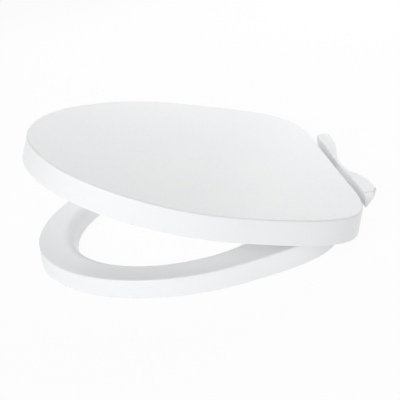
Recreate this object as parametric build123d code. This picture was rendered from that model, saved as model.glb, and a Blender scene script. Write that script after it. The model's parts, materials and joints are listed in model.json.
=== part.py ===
"""Wrap-over toilet seat: ring, dished lid and link hinge, in millimetres.

Origin on the pan's top, midway between the two fixing holes. +Z is up, the seat's front points to -Y,
and left is -X. Pieces are drawn round the hinge axis with the lid shut, and moved into place at the end.
"""
import os
from math import atan2, cos, degrees, hypot, radians, sin, tan

from build123d import *

# Lid
LID_LENGTH = 426.7
LID_WIDTH = 371.0
LID_WIDEST = 246.0
LID_REAR_FLAT = 160.0
LID_SKIRT = 32.0
LID_LEAN = 3.2
LID_WALL = 3.0
LID_DISH = 4.0
LID_EDGE_R = 2.2
LID_FOOT_R = 1.0
LID_OPEN_DEG = 21.6
LID_STOP_DEG = 101.0
LID_REAR_BAND = 8.0
FRONT_FULLNESS = 0.522
REAR_FULLNESS = 0.82

# Seat ring
RING_GAP_FRONT = 6.0
RING_GAP_SIDE = 9.4
RING_DROP = 8.5
RING_THICK = 25.0
RING_LEAN = 3.5
RING_WALL = 3.0
RING_DISH = 4.0
RING_REAR_FLAT = 130.0
RING_EDGE_R = 2.5
ROLL_R = 16.0
BAR_FRONT = 49.6
BAR_SIDE = 50.0
BAR_REAR = 46.0
HOLE_WIDEST = 172.0
HOLE_LEAN_DEG = 10.0
HOLE_FULLNESS = 0.552
RIB_COUNT = 14
RIB_WALL = 2.2
RIB_SET_BACK = 3.0

# Hinge axis and brackets
AXIS_HEIGHT = 19.5
AXIS_AHEAD = 11.7
AXIS_BELOW_RIM = 22.9
FIXING_SPACING = 155.0
FIXING_R = 4.25
FIXING_DEPTH = 9.5
FIXING_BEHIND_AXIS = 4.0
KNUCKLE_R = 10.0
KNUCKLE_WIDTH = 15.0
POST_FRONT = 6.0
POST_WALL = 3.0
PLATE_THICK = 2.7
PLATE_INNER = 52.0
PIN_R = 4.0
PIN_CHAMFER = 0.6
DAMPER_R = 8.0
DAMPER_LENGTH = 25.0
EAR_WALL = 3.0
BUSH_WALL = 2.5
BUSH_LENGTH = 12.0
FLANGE_THICK = 1.6
FLANGE_RIM = 2.0

# Saddle-shaped cover behind the lid
COVER_LENGTH = 196.0
COVER_DROP = 6.9
COVER_DEPTH = 19.0
COVER_WAIST = 5.0
COVER_WAIST_DROP = 5.5
COVER_SCOOP = 88.0
COVER_SHOULDER = 62.0
COVER_TIP = 4.0
COVER_UNDERCUT_DEG = 45.0
COVER_CORNER = 7.0
COVER_EDGE_R = 2.0
COVER_FRONT_R = 0.8
COVER_WALL = 2.6
COVER_LEG = 14.0
COVER_LEG_THICK = 5.5
TENON_HEIGHT = 1.8
TENON_WIDTH = 8.0
TENON_THICK = 3.0

# Rubber buffers
RING_BUFFER_LENGTH = 34.0
RING_BUFFER_WIDTH = 14.0
BUFFER_STEM_R = 3.0
BUFFER_STEM = 6.0
BOSS_RIM = 2.0
LID_BUFFER_R = 7.0
RING_BUFFER_FRONT_DEG = 32.0
RING_BUFFER_REAR_DEG = 122.0
LID_BUFFER_FRONT_DEG = 45.0
LID_BUFFER_REAR_DEG = 108.0

# Clearances
RUNNING_FIT = 0.05
PUSH_FIT = 0.03
SIDE_GAP = 0.6
SWEEP_GAP = 0.6
SHUT_GAP = 0.4
EDGE_GAP = 2.0

# Worked out from the sizes above, with the hinge axis at y = 0, z = 0
LID_REAR = AXIS_AHEAD
LID_FRONT = LID_REAR - LID_LENGTH
LID_SIDE_Y = LID_FRONT + LID_WIDEST
LID_FOOT = AXIS_BELOW_RIM - LID_SKIRT
RING_TOP = AXIS_BELOW_RIM - RING_DROP
RING_FOOT = RING_TOP - RING_THICK
RING_FRONT = LID_FRONT + RING_GAP_FRONT
RING_REAR = -KNUCKLE_R - EDGE_GAP - RING_LEAN
RING_HALF = LID_WIDTH / 2 - RING_GAP_SIDE
PAN = -AXIS_HEIGHT
MIDDLE_Y = LID_FRONT + LID_LENGTH / 2
EAR_R = DAMPER_R + EAR_WALL
BUSH_R = PIN_R + BUSH_WALL
LID_EAR_R = BUSH_R + EAR_WALL
KNUCKLE_IN = FIXING_SPACING / 2 - KNUCKLE_WIDTH / 2
KNUCKLE_OUT = FIXING_SPACING / 2 + KNUCKLE_WIDTH / 2
DAMPER_FACE = KNUCKLE_IN - SIDE_GAP
RING_EAR_OUT = DAMPER_FACE - FLANGE_THICK
RING_EAR_IN = RING_EAR_OUT - DAMPER_LENGTH - EAR_WALL
BUSH_FACE = KNUCKLE_OUT + SIDE_GAP
LID_EAR_IN = BUSH_FACE + FLANGE_THICK
LID_EAR_OUT = LID_EAR_IN + BUSH_LENGTH
PIN_IN = RING_EAR_IN + EAR_WALL + SIDE_GAP
PIN_OUT = LID_EAR_OUT - SIDE_GAP
PLATE_TOP = PAN + PLATE_THICK
PLATE_OUTER = LID_EAR_IN - SIDE_GAP
POST_BACK = FIXING_BEHIND_AXIS + FIXING_R + POST_WALL


def dish_radius(dish, half):
    """Radius of the great sphere that sinks a dish of this depth across this half width."""
    return (half ** 2 + dish ** 2) / (2 * dish)


def dish_height(radius, lowest, x, y):
    """Height of a dish's surface above the axis at one place."""
    away = hypot(x, y - MIDDLE_Y)
    return lowest + radius - (radius ** 2 - away ** 2) ** 0.5


LID_DISH_R = dish_radius(LID_DISH, LID_WIDTH / 2)
LID_LOWEST = AXIS_BELOW_RIM - LID_DISH
RING_DISH_R = dish_radius(RING_DISH, RING_HALF)
RING_LOWEST = RING_TOP - RING_DISH
REAR_RIM = dish_height(LID_DISH_R, LID_LOWEST, LID_REAR_FLAT / 2, LID_REAR)
SWEEP_R = hypot(LID_REAR - LID_EDGE_R, REAR_RIM - LID_EDGE_R) + LID_EDGE_R + SWEEP_GAP
COVER_TOP = REAR_RIM - COVER_DROP
LEAN_BACK = radians(LID_STOP_DEG - 90)
LEANING_LID = dish_height(LID_DISH_R, LID_LOWEST, COVER_LENGTH / 2, -COVER_TOP) + SWEEP_GAP
COVER_FRONT = max(SWEEP_R, (LEANING_LID + COVER_TOP * sin(LEAN_BACK)) / cos(LEAN_BACK))
COVER_BACK = COVER_FRONT + COVER_DEPTH


def dish_ball(radius, lowest):
    """Great ball above the seat, whose lowest point is the middle of a dish."""
    return Pos(0, MIDDLE_Y, lowest + radius) * Rot(Y=-90) * Sphere(radius)


def egg(front, rear, half, side_y, flat, front_full, rear_full):
    """Egg-shaped outline with its round end to the front and a straight rear edge."""
    side = (half, side_y)
    corner = (flat / 2, rear)
    nose_pull = (front_full * half, front)
    front_pull = (half, side_y - front_full * (side_y - front))
    rear_pull = (half, side_y + rear_full * (rear - side_y))
    corner_pull = (flat / 2 + rear_full * (half - flat / 2), rear)
    right = [
        Bezier((0, front), nose_pull, front_pull, side),
        Bezier(side, rear_pull, corner_pull, corner),
    ]
    left = [mirror(edge, about=Plane.YZ) for edge in right]
    back = [Line(corner, (-flat / 2, rear))] if flat else []
    return make_face(right + back + left)


def lid_section(z, inset):
    """Lid outline at one height, drawn in by an inset."""
    grow = LID_LEAN * (AXIS_BELOW_RIM - z) / LID_SKIRT - inset
    face = egg(LID_FRONT - grow, LID_REAR + grow, LID_WIDTH / 2 + grow, LID_SIDE_Y,
               LID_REAR_FLAT, FRONT_FULLNESS, REAR_FULLNESS)
    return Pos(0, 0, z) * face


def lid_form(foot, inset):
    """Solid lid with a dished top, drawn in by an inset on every side."""
    above = AXIS_BELOW_RIM + LID_DISH + LID_WALL
    block = loft([lid_section(foot, inset), lid_section(above, inset)], ruled=True)
    return block - dish_ball(LID_DISH_R + inset, LID_LOWEST - inset)


def lid_ear():
    """Lug that hangs from the lid's skin and takes a bush, on the right."""
    length = LID_EAR_OUT - LID_EAR_IN
    lug = Circle(LID_EAR_R) + Pos(0, REAR_RIM / 2) * Rectangle(2 * LID_EAR_R, REAR_RIM)
    ear = Pos(LID_EAR_IN, 0, 0) * extrude(Plane.YZ * lug, length)
    inside = lid_form(LID_FOOT - LID_EAR_R, LID_WALL / 2)
    bore = Pos(LID_EAR_IN + length / 2, 0, 0) * Rot(Y=90) * Cylinder(BUSH_R + PUSH_FIT, 2 * length)
    return (ear & inside) - bore


def lid():
    """Lid shell: dished skin, deep skirt, open rear for the hinge and two lugs."""
    outer = lid_form(LID_FOOT, 0)
    rim = outer.faces().filter_by(GeomType.SPHERE)[0].outer_wire().edges()
    outer = fillet(rim, LID_EDGE_R)
    foot = outer.faces().sort_by(Axis.Z)[0].outer_wire().edges()
    outer = fillet(foot, LID_FOOT_R)
    shell = outer - lid_form(LID_FOOT - LID_WALL, LID_WALL)
    gap_top = REAR_RIM - LID_REAR_BAND
    gap = Box(COVER_LENGTH + 2 * EDGE_GAP, LID_REAR + LID_LEAN, 2 * LID_SKIRT,
              align=(Align.CENTER, Align.MIN, Align.MAX))
    shell -= Pos(0, LID_REAR - 2 * LID_WALL, gap_top) * gap
    ear = lid_ear()
    return shell + ear + mirror(ear, about=Plane.YZ)


def ring_form(foot, inset):
    """Solid ring, drawn in by an inset: leaning sides, dished top and a top that rolls into the hole."""
    above = RING_TOP + RING_DISH + RING_WALL

    def outer(z):
        grow = RING_LEAN * (RING_TOP - z) / RING_THICK - inset
        face = egg(RING_FRONT - grow, RING_REAR + grow, RING_HALF + grow, LID_SIDE_Y,
                   RING_REAR_FLAT, FRONT_FULLNESS, REAR_FULLNESS)
        return Pos(0, 0, z) * face

    def hole(z):
        grow = (z - RING_FOOT) * tan(radians(HOLE_LEAN_DEG)) + inset
        front = RING_FRONT + BAR_FRONT
        face = egg(front - grow, RING_REAR - BAR_REAR + grow, RING_HALF - BAR_SIDE + grow,
                   front + HOLE_WIDEST, 0, HOLE_FULLNESS, HOLE_FULLNESS)
        return Pos(0, 0, z) * face

    block = loft([outer(foot), outer(above)], ruled=True)
    block -= dish_ball(RING_DISH_R + inset, RING_LOWEST - inset)
    below = foot - RING_WALL
    block -= loft([hole(below), hole(above)], ruled=True)
    top = block.faces().filter_by(GeomType.SPHERE)[0]
    block = fillet(top.inner_wires()[0].edges(), ROLL_R - inset)
    top = block.faces().filter_by(GeomType.SPHERE)[0]
    return fillet(top.outer_wire().edges(), max(RING_EDGE_R - inset, LID_FOOT_R))


def ring_ribs(cavity):
    """Ribs that stand across the hollow underside, spread round the hole."""
    reach = LID_LENGTH
    ribs = []
    for number in range(RIB_COUNT):
        turn = 360 / RIB_COUNT * (number + 0.5)
        rib = Box(reach, RIB_WALL, RING_THICK, align=(Align.MIN, Align.CENTER, Align.MIN))
        ribs.append(Pos(0, MIDDLE_Y, RING_FOOT + RIB_SET_BACK) * Rot(Z=turn) * rib)
    return [piece for rib in ribs for piece in (cavity & rib).solids()]


def bar_middle(turn):
    """Place on the middle of the ring's bar, with turns counted from the front towards the right."""
    half = RING_HALF - BAR_SIDE / 2
    middle = (LID_SIDE_Y + RING_FRONT + BAR_FRONT + HOLE_WIDEST) / 2
    front = middle - RING_FRONT - BAR_FRONT / 2
    rear = RING_REAR - BAR_REAR / 2 - middle
    along = cos(radians(turn))
    return half * sin(radians(turn)), middle - along * (front if along > 0 else rear)


def four_spots(front_turn, rear_turn):
    """Places on the ring's bar of a front and a rear pair."""
    front_x, front_y = bar_middle(front_turn)
    rear_x, rear_y = bar_middle(rear_turn)
    return {
        "front_left": (-front_x, front_y),
        "front_right": (front_x, front_y),
        "rear_left": (-rear_x, rear_y),
        "rear_right": (rear_x, rear_y),
    }


def ring_buffer_spots():
    """Places of the ring's four buffers and the turn that lays each along its bar."""
    spots = {}
    for name, (x, y) in four_spots(RING_BUFFER_FRONT_DEG, RING_BUFFER_REAR_DEG).items():
        spots[name] = (x, y, degrees(atan2(y - MIDDLE_Y, x)) + 90)
    return spots


def ring_ear():
    """Ear on the ring's rear bar that holds a damper on the axis, on the right."""
    length = RING_EAR_OUT - RING_EAR_IN
    arm_end = RING_REAR - RING_WALL / 2
    arm = Pos(arm_end / 2, 0) * Rectangle(-arm_end, 2 * (-RING_FOOT - RING_WALL / 2))
    ear = Pos(RING_EAR_IN, 0, 0) * extrude(Plane.YZ * (Circle(EAR_R) + arm), length)
    return ear


def ear_bore():
    """Blind hole for the damper, open towards the bracket, on the right."""
    bore = Cylinder(DAMPER_R + PUSH_FIT, DAMPER_LENGTH + SIDE_GAP,
                    align=(Align.CENTER, Align.CENTER, Align.MIN))
    return Pos(RING_EAR_OUT - DAMPER_LENGTH, 0, 0) * Rot(Y=90) * bore


def seat_ring():
    """Ring shell with a ribbed hollow underside, buffer bosses and two hinge ears."""
    cavity = ring_form(RING_FOOT - RING_WALL, RING_WALL)
    ring = ring_form(RING_FOOT, 0) - cavity
    ring += ring_ribs(cavity)
    stems = []
    for x, y, turn in ring_buffer_spots().values():
        spot = Pos(x, y, RING_FOOT) * Rot(Z=turn)
        plan = SlotOverall(RING_BUFFER_LENGTH + 2 * BOSS_RIM, RING_BUFFER_WIDTH + 2 * BOSS_RIM)
        boss = spot * extrude(plan, RING_THICK)
        ring += (cavity & boss).solids()
        stems.append(spot * Cylinder(BUFFER_STEM_R + PUSH_FIT, 2 * (BUFFER_STEM + SIDE_GAP)))
    ring -= stems
    ear = ring_ear()
    ring += [ear, mirror(ear, about=Plane.YZ)]
    bore = ear_bore()
    return ring - bore - mirror(bore, about=Plane.YZ)


def ring_buffer(x, y, turn):
    """Rubber foot of the ring with a stem that plugs into its boss."""
    spot = Pos(x, y, 0) * Rot(Z=turn)
    pad = Pos(0, 0, PAN) * extrude(SlotOverall(RING_BUFFER_LENGTH, RING_BUFFER_WIDTH), RING_FOOT - PAN)
    pad = chamfer(pad.faces().sort_by(Axis.Z)[0].edges(), PIN_CHAMFER)
    stem = Cylinder(BUFFER_STEM_R, BUFFER_STEM, align=(Align.CENTER, Align.CENTER, Align.MIN))
    return spot * (pad + Pos(0, 0, RING_FOOT) * stem)


def lid_buffer(x, y):
    """Rubber button under the lid's skin that lands on the ring."""
    low = dish_height(RING_DISH_R, RING_LOWEST, x, y) + SHUT_GAP
    high = dish_height(LID_DISH_R, LID_LOWEST, x, y)
    button = Pos(x, y, low) * Cylinder(LID_BUFFER_R, high - low,
                                       align=(Align.CENTER, Align.CENTER, Align.MIN))
    button -= dish_ball(LID_DISH_R + LID_WALL, LID_LOWEST - LID_WALL)
    return chamfer(button.faces().sort_by(Axis.Z)[0].edges(), PIN_CHAMFER)


def bracket():
    """Right bracket: a foot plate on the pan, a post with the fixing hole and a knuckle on the axis."""
    width = KNUCKLE_WIDTH
    knuckle = Circle(KNUCKLE_R) + Pos((POST_BACK - POST_FRONT) / 2, PAN / 2) * Rectangle(
        POST_BACK + POST_FRONT, AXIS_HEIGHT)
    post = Pos(KNUCKLE_IN, 0, 0) * extrude(Plane.YZ * knuckle, width)
    inner_end = PLATE_INNER + COVER_LEG
    back = COVER_FRONT + COVER_LEG_THICK
    plan = Polyline((PLATE_INNER, -POST_FRONT), (PLATE_OUTER, -POST_FRONT), (PLATE_OUTER, POST_BACK),
                    (inner_end, back), (PLATE_INNER, back), close=True)
    plate = Pos(0, 0, PAN) * extrude(make_face(plan), PLATE_THICK)
    body = post + plate
    fixing = Cylinder(FIXING_R, 2 * FIXING_DEPTH)
    body -= Pos(FIXING_SPACING / 2, FIXING_BEHIND_AXIS, PAN) * fixing
    body -= Pos(FIXING_SPACING / 2, 0, 0) * Rot(Y=90) * Cylinder(PIN_R + RUNNING_FIT, 2 * width)
    return body - tenon(PUSH_FIT)


def tenon(grow):
    """Peg under the cover's right leg, and with growth the socket for it."""
    wide = TENON_WIDTH + 2 * grow
    thick = TENON_THICK + 2 * grow
    peg = Box(wide, thick, TENON_HEIGHT + grow, align=(Align.CENTER, Align.CENTER, Align.MAX))
    return Pos(PLATE_INNER + COVER_LEG / 2, COVER_FRONT + COVER_LEG_THICK / 2, PLATE_TOP) * peg


def cover_plan(inset):
    """Cover from above: two blunt ends joined by a waist that curves in at the back."""
    end = COVER_LENGTH / 2 - inset
    depth = COVER_BACK - inset
    waist = COVER_FRONT + COVER_WAIST - inset
    shoulder = (COVER_SHOULDER, depth - COVER_TIP / 2)
    right = [
        Line((end, 0), (end, depth - COVER_CORNER)),
        Line((end, depth - COVER_CORNER), (end - COVER_CORNER, depth)),
        Line((end - COVER_CORNER, depth), shoulder),
        Bezier(shoulder, (COVER_SHOULDER / 2, waist + COVER_TIP), (COVER_SHOULDER / 2, waist), (0, waist)),
    ]
    left = [mirror(edge, about=Plane.YZ) for edge in right]
    return make_face(right + left + [Line((-end, 0), (end, 0))])


def cover_form(inset):
    """Cover without its legs, drawn in by an inset: sloping underside, scooped top, upright front."""
    end = COVER_LENGTH / 2
    top = COVER_TOP - inset
    tip = COVER_TOP - COVER_TIP - inset
    heel = tip - COVER_DEPTH * tan(radians(COVER_UNDERCUT_DEG))
    profile = Polyline((0, heel), (0, top), (COVER_BACK, top), (COVER_BACK, tip), (COVER_FRONT, heel),
                       close=True)
    body = Pos(-end, 0, 0) * extrude(Plane.YZ * make_face(profile), COVER_LENGTH)
    body &= Pos(0, 0, PAN) * extrude(cover_plan(inset), COVER_TOP - PAN)
    scoop_r = dish_radius(COVER_WAIST_DROP, COVER_SCOOP / 2)
    body -= Pos(0, 0, top - COVER_WAIST_DROP + scoop_r) * Rot(X=90) * Cylinder(scoop_r, 4 * COVER_BACK)
    room = Box(2 * COVER_LENGTH, 4 * COVER_BACK, 4 * COVER_BACK,
               align=(Align.CENTER, Align.MAX, Align.CENTER))
    return body - Pos(0, COVER_FRONT + inset, 0) * room


def hinge_cover():
    """Saddle-shaped cover that closes the back of the hinge, with two legs pegged into the brackets."""
    body = cover_form(0)
    upper = body.faces().filter_by(lambda face: face.normal_at().Z > 0.9)
    fold = COVER_SCOOP / 2
    rim = [edge for edge in upper.edges() if abs(abs(edge.center().X) - fold) > RUNNING_FIT]
    back_rim = [edge for edge in rim if edge.center().Y > COVER_FRONT + RUNNING_FIT]
    body = fillet(back_rim, COVER_EDGE_R)
    front = body.faces().filter_by(lambda face: face.normal_at().Y < -0.9)
    lowest = COVER_TOP - COVER_WAIST_DROP - COVER_EDGE_R
    front_rim = front.edges().filter_by(lambda edge: edge.center().Z > lowest)
    body = fillet(front_rim, COVER_FRONT_R) - cover_form(COVER_WALL)
    leg = Box(COVER_LEG, COVER_LEG_THICK, COVER_TOP - PLATE_TOP - COVER_TIP,
              align=(Align.MIN, Align.MIN, Align.MIN))
    leg = Pos(PLATE_INNER, COVER_FRONT, PLATE_TOP) * leg
    body += [leg, mirror(leg, about=Plane.YZ), tenon(0), mirror(tenon(0), about=Plane.YZ)]
    return body


def pin():
    """Steel hinge pin, on the right."""
    rod = Cylinder(PIN_R, PIN_OUT - PIN_IN, align=(Align.CENTER, Align.CENTER, Align.MIN))
    rod = chamfer(rod.edges().filter_by(GeomType.CIRCLE), PIN_CHAMFER)
    return Pos(PIN_IN, 0, 0) * Rot(Y=90) * rod


def damper():
    """Slow-close damper barrel that plugs into a ring ear and turns on the pin, on the right."""
    align = (Align.CENTER, Align.CENTER, Align.MIN)
    barrel = Cylinder(DAMPER_R, DAMPER_LENGTH, align=align)
    flange = Cylinder(DAMPER_R + FLANGE_RIM, FLANGE_THICK, align=align)
    body = barrel + Pos(0, 0, DAMPER_LENGTH) * flange
    bore_start = PIN_IN - SIDE_GAP - (RING_EAR_OUT - DAMPER_LENGTH)
    bore = Pos(0, 0, bore_start) * Cylinder(PIN_R + RUNNING_FIT, 2 * DAMPER_LENGTH, align=align)
    return Pos(RING_EAR_OUT - DAMPER_LENGTH, 0, 0) * Rot(Y=90) * (body - bore)


def bush():
    """Flanged nylon bush in a lid lug, on the right."""
    align = (Align.CENTER, Align.CENTER, Align.MIN)
    body = Cylinder(BUSH_R, FLANGE_THICK + BUSH_LENGTH, align=align)
    body += Cylinder(BUSH_R + FLANGE_RIM, FLANGE_THICK, align=align)
    body -= Cylinder(PIN_R + RUNNING_FIT, 4 * BUSH_LENGTH)
    return Pos(BUSH_FACE, 0, 0) * Rot(Y=90) * body


def pieces():
    """Every piece by name, in place on the pan with the lid part open."""
    axis = Pos(0, -FIXING_BEHIND_AXIS, AXIS_HEIGHT)
    lifted = axis * Rot(X=-LID_OPEN_DEG)
    still = {"hinge_cover": hinge_cover(), "seat_ring": seat_ring()}
    moved = {"lid": lid()}
    for name, right in (("bracket", bracket()), ("pin", pin()), ("damper", damper())):
        still["right_" + name] = right
        still["left_" + name] = mirror(right, about=Plane.YZ)
    for name, spot in ring_buffer_spots().items():
        still["ring_buffer_" + name] = ring_buffer(*spot)
    moved["right_bush"] = bush()
    moved["left_bush"] = mirror(bush(), about=Plane.YZ)
    for name, spot in four_spots(LID_BUFFER_FRONT_DEG, LID_BUFFER_REAR_DEG).items():
        moved["lid_buffer_" + name] = lid_buffer(*spot)
    placed = {name: axis * shape for name, shape in still.items()}
    placed.update({name: lifted * shape for name, shape in moved.items()})
    return placed


os.makedirs("parts", exist_ok=True)
for node, shape in pieces().items():
    export_step(shape, f"parts/{node}.step")
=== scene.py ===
import json
from math import cos, radians, sin

import bpy
from mathutils import Matrix, Vector


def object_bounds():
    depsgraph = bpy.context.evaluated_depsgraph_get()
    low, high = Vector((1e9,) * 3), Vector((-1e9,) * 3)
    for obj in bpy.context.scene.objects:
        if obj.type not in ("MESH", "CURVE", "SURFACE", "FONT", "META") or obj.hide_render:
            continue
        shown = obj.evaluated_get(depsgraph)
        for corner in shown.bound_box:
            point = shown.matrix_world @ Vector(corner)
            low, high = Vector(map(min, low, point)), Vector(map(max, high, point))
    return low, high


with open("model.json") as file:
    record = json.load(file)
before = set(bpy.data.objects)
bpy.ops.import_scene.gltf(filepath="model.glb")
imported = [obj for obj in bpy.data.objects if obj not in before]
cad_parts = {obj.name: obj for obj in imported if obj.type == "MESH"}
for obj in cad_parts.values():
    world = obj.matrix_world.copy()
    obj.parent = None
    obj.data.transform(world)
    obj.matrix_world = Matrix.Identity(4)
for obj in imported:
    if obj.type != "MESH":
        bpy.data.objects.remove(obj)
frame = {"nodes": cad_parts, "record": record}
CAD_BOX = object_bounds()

# Camera, as fitted to the photograph's outlines: place in metres, angles in degrees, focal length in pixels
PHOTO_SIZE = 400
CAMERA_PLACE = (0.91786, -0.26026, 0.56389)
CAMERA_AZIMUTH = 85.08
CAMERA_ELEVATION = 29.87
CAMERA_ROLL = -12.32
CAMERA_FOCAL = 753.78
SENSOR_WIDTH = 36.0

# Finish of each material slot: two tones in linear colour, limits of roughness, scales of clouding and grain,
# the grain's depth in metres, and the stretch of ground steel's grain along the pin
FINISHES = {
    "white_plastic": {
        "light": (0.885, 0.892, 0.900),
        "deep": (0.868, 0.878, 0.890),
        "roughness": (0.26, 0.36),
        "cloud_scale": 6.0,
        "grain_scale": 900.0,
        "grain_depth": 0.00001,
    },
    "buffer_rubber": {
        "light": (0.56, 0.57, 0.58),
        "deep": (0.47, 0.48, 0.49),
        "roughness": (0.70, 0.86),
        "cloud_scale": 60.0,
        "grain_scale": 900.0,
        "grain_depth": 0.00012,
    },
    "damper_plastic": {
        "light": (0.105, 0.110, 0.118),
        "deep": (0.085, 0.090, 0.098),
        "roughness": (0.42, 0.56),
        "cloud_scale": 80.0,
        "grain_scale": 1200.0,
        "grain_depth": 0.00008,
    },
    "bush_plastic": {
        "light": (0.62, 0.60, 0.54),
        "deep": (0.55, 0.53, 0.47),
        "roughness": (0.40, 0.52),
        "cloud_scale": 80.0,
        "grain_scale": 900.0,
        "grain_depth": 0.00005,
    },
    "steel": {
        "light": (0.58, 0.59, 0.61),
        "deep": (0.48, 0.49, 0.51),
        "roughness": (0.22, 0.34),
        "cloud_scale": 40.0,
        "grain_scale": 700.0,
        "grain_depth": 0.00003,
        "metallic": 1.0,
        "stretch": (0.05, 1, 1),
    },
}
CLOUD_DETAIL = 3.0
GRAIN_DETAIL = 2.0
GRAIN_STRENGTH = 0.25
TONE_SPAN = (0.35, 0.65)
GLOSS_SPAN = (0.3, 0.7)

# Floor and surroundings: sizes in metres, shares of glow when seen and when lighting the seat
FLOOR_SIZE = 8.0
FLOOR_DROP = 0.0006
FLOOR_COLOUR = (0.90, 0.90, 0.90)
FLOOR_GLOW_SHARE = 0.95
FLOOR_LIGHT_SHARE = 0.64
SKY_COLOUR = (1.0, 1.0, 1.0)
HORIZON_LIGHT = 0.40
ZENITH_LIGHT = 0.02

# Soft lamps: place and size in metres, power in watts
AIM = (0.0, -0.20, 0.06)
LAMPS = {
    "key": {"place": (1.4, -1.7, 1.35), "size": (1.8, 1.4), "watts": 33.0},
    "side": {"place": (2.2, 0.5, 0.6), "size": (1.8, 1.0), "watts": 8.0},
    "far_front": {"place": (-0.95, -0.05, 0.75), "size": (1.2, 1.2), "watts": 4.4},
    "far_rear": {"place": (-0.60, 0.75, 0.70), "size": (1.2, 1.2), "watts": 7.1},
}


def nodes_of(material):
    """Empty node tree of a new material, with its output node."""
    material.use_nodes = True
    tree = material.node_tree
    tree.nodes.clear()
    return tree, tree.nodes.new("ShaderNodeOutputMaterial")


def noise(tree, coordinates, scale, detail):
    """Noise over the object's own coordinates."""
    texture = tree.nodes.new("ShaderNodeTexNoise")
    texture.inputs["Scale"].default_value = scale
    texture.inputs["Detail"].default_value = detail
    tree.links.new(coordinates, texture.inputs["Vector"])
    return texture.outputs["Fac"]


def ramp_between(tree, factor, low, high):
    """Colour that runs from one tone to another with a factor."""
    ramp = tree.nodes.new("ShaderNodeValToRGB")
    for stop, place, tone in zip(ramp.color_ramp.elements, TONE_SPAN, (low, high)):
        stop.position = place
        stop.color = (*tone, 1.0)
    tree.links.new(factor, ramp.inputs["Fac"])
    return ramp.outputs["Color"]


def value_between(tree, factor, low, high):
    """Value that runs between two limits with a factor."""
    span = tree.nodes.new("ShaderNodeMapRange")
    span.inputs["From Min"].default_value, span.inputs["From Max"].default_value = GLOSS_SPAN
    span.inputs["To Min"].default_value = low
    span.inputs["To Max"].default_value = high
    tree.links.new(factor, span.inputs["Value"])
    return span.outputs["Result"]


def moulded(name, light, deep, roughness, cloud_scale, grain_scale, grain_depth,
            metallic=0.0, stretch=(1, 1, 1)):
    """Moulded or ground finish: faint clouding, uneven gloss and a fine grain in relief."""
    material = bpy.data.materials.new(name)
    tree, output = nodes_of(material)
    shader = tree.nodes.new("ShaderNodeBsdfPrincipled")
    place = tree.nodes.new("ShaderNodeTexCoord")
    mapping = tree.nodes.new("ShaderNodeMapping")
    mapping.inputs["Scale"].default_value = stretch
    tree.links.new(place.outputs["Object"], mapping.inputs["Vector"])
    spot = mapping.outputs["Vector"]
    cloud = noise(tree, spot, cloud_scale, CLOUD_DETAIL)
    grain = noise(tree, spot, grain_scale, GRAIN_DETAIL)
    tree.links.new(ramp_between(tree, cloud, deep, light), shader.inputs["Base Color"])
    tree.links.new(value_between(tree, grain, *roughness), shader.inputs["Roughness"])
    shader.inputs["Metallic"].default_value = metallic
    bump = tree.nodes.new("ShaderNodeBump")
    bump.inputs["Strength"].default_value = GRAIN_STRENGTH
    bump.inputs["Distance"].default_value = grain_depth
    tree.links.new(grain, bump.inputs["Height"])
    tree.links.new(bump.outputs["Normal"], shader.inputs["Normal"])
    tree.links.new(shader.outputs["BSDF"], output.inputs["Surface"])
    return material


def paint_nodes():
    """Give each CAD node the finish of its material slot."""
    finishes = {slot: moulded(slot, **values) for slot, values in FINISHES.items()}
    for subpart in frame["record"]["subparts"]:
        mesh = frame["nodes"][subpart["node"]].data
        mesh.materials.clear()
        mesh.materials.append(finishes[subpart["material_slot"]])


def seen_ray(tree):
    """One for rays that look at the background, straight or by way of gloss or glass."""
    path = tree.nodes.new("ShaderNodeLightPath")
    first = tree.nodes.new("ShaderNodeMath")
    first.operation = "MAXIMUM"
    tree.links.new(path.outputs["Is Camera Ray"], first.inputs[0])
    tree.links.new(path.outputs["Is Glossy Ray"], first.inputs[1])
    both = tree.nodes.new("ShaderNodeMath")
    both.operation = "MAXIMUM"
    tree.links.new(first.outputs[0], both.inputs[0])
    tree.links.new(path.outputs["Is Transmission Ray"], both.inputs[1])
    return both.outputs[0]


def build_floor():
    """Plain white floor that keeps a soft shadow."""
    bpy.ops.mesh.primitive_plane_add(size=FLOOR_SIZE, location=(0, AIM[1], CAD_BOX[0][2] - FLOOR_DROP))
    floor = bpy.context.object
    floor.name = "floor"
    material = bpy.data.materials.new("floor_white")
    tree, output = nodes_of(material)
    matt = tree.nodes.new("ShaderNodeBsdfDiffuse")
    matt.inputs["Color"].default_value = (*FLOOR_COLOUR, 1.0)
    glow = tree.nodes.new("ShaderNodeEmission")
    share = tree.nodes.new("ShaderNodeMapRange")
    share.inputs["To Min"].default_value = FLOOR_LIGHT_SHARE
    share.inputs["To Max"].default_value = FLOOR_GLOW_SHARE
    tree.links.new(seen_ray(tree), share.inputs["Value"])
    mix = tree.nodes.new("ShaderNodeMixShader")
    tree.links.new(share.outputs["Result"], mix.inputs["Fac"])
    tree.links.new(matt.outputs["BSDF"], mix.inputs[1])
    tree.links.new(glow.outputs["Emission"], mix.inputs[2])
    tree.links.new(mix.outputs["Shader"], output.inputs["Surface"])
    floor.data.materials.append(material)


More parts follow.
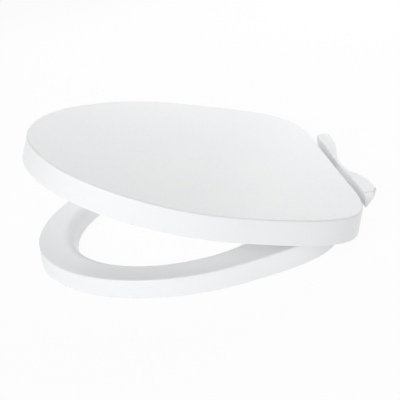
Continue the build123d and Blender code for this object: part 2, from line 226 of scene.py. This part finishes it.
def build_world():
    """White surroundings that light the object more softly than they look, most from the horizon."""
    world = bpy.data.worlds.new("studio")
    bpy.context.scene.world = world
    world.use_nodes = True
    tree = world.node_tree
    tree.nodes.clear()
    output = tree.nodes.new("ShaderNodeOutputWorld")
    way = tree.nodes.new("ShaderNodeTexCoord")
    parts = tree.nodes.new("ShaderNodeSeparateXYZ")
    tree.links.new(way.outputs["Generated"], parts.inputs["Vector"])
    height = tree.nodes.new("ShaderNodeMapRange")
    height.inputs["To Min"].default_value = HORIZON_LIGHT
    height.inputs["To Max"].default_value = ZENITH_LIGHT
    tree.links.new(parts.outputs["Z"], height.inputs["Value"])
    soft = tree.nodes.new("ShaderNodeBackground")
    soft.inputs["Color"].default_value = (*SKY_COLOUR, 1.0)
    tree.links.new(height.outputs["Result"], soft.inputs["Strength"])
    seen = tree.nodes.new("ShaderNodeBackground")
    seen.inputs["Color"].default_value = (*SKY_COLOUR, 1.0)
    mix = tree.nodes.new("ShaderNodeMixShader")
    tree.links.new(seen_ray(tree), mix.inputs["Fac"])
    tree.links.new(soft.outputs["Background"], mix.inputs[1])
    tree.links.new(seen.outputs["Background"], mix.inputs[2])
    tree.links.new(mix.outputs["Shader"], output.inputs["Surface"])


def softbox(name, place, size, watts):
    """Large soft lamp aimed at the seat."""
    lamp = bpy.data.lights.new(name, "AREA")
    lamp.shape = "RECTANGLE"
    lamp.size, lamp.size_y = size
    lamp.energy = watts
    holder = bpy.data.objects.new(name, lamp)
    bpy.context.collection.objects.link(holder)
    holder.location = place
    towards = Vector(AIM) - Vector(place)
    holder.rotation_euler = towards.to_track_quat("-Z", "Y").to_euler()
    holder.visible_camera = False


def build_camera():
    """Camera where the photograph was taken from."""
    azimuth, elevation, roll = (radians(a) for a in (CAMERA_AZIMUTH, CAMERA_ELEVATION, CAMERA_ROLL))
    back = Vector((sin(azimuth) * cos(elevation), -cos(azimuth) * cos(elevation), sin(elevation)))
    level = Vector((cos(azimuth), sin(azimuth), 0.0))
    upright = back.cross(level)
    right = level * cos(roll) + upright * sin(roll)
    up = upright * cos(roll) - level * sin(roll)
    turn = Matrix((right, up, back)).transposed()
    lens = bpy.data.cameras.new("camera")
    lens.sensor_width = SENSOR_WIDTH
    lens.lens = SENSOR_WIDTH * CAMERA_FOCAL / PHOTO_SIZE
    camera = bpy.data.objects.new("camera", lens)
    bpy.context.collection.objects.link(camera)
    camera.matrix_world = Matrix.Translation(CAMERA_PLACE) @ turn.to_4x4()
    bpy.context.scene.camera = camera


paint_nodes()
build_floor()
build_world()
for lamp_name, lamp_values in LAMPS.items():
    softbox(lamp_name, **lamp_values)
build_camera()
bpy.context.scene.view_settings.view_transform = "Standard"
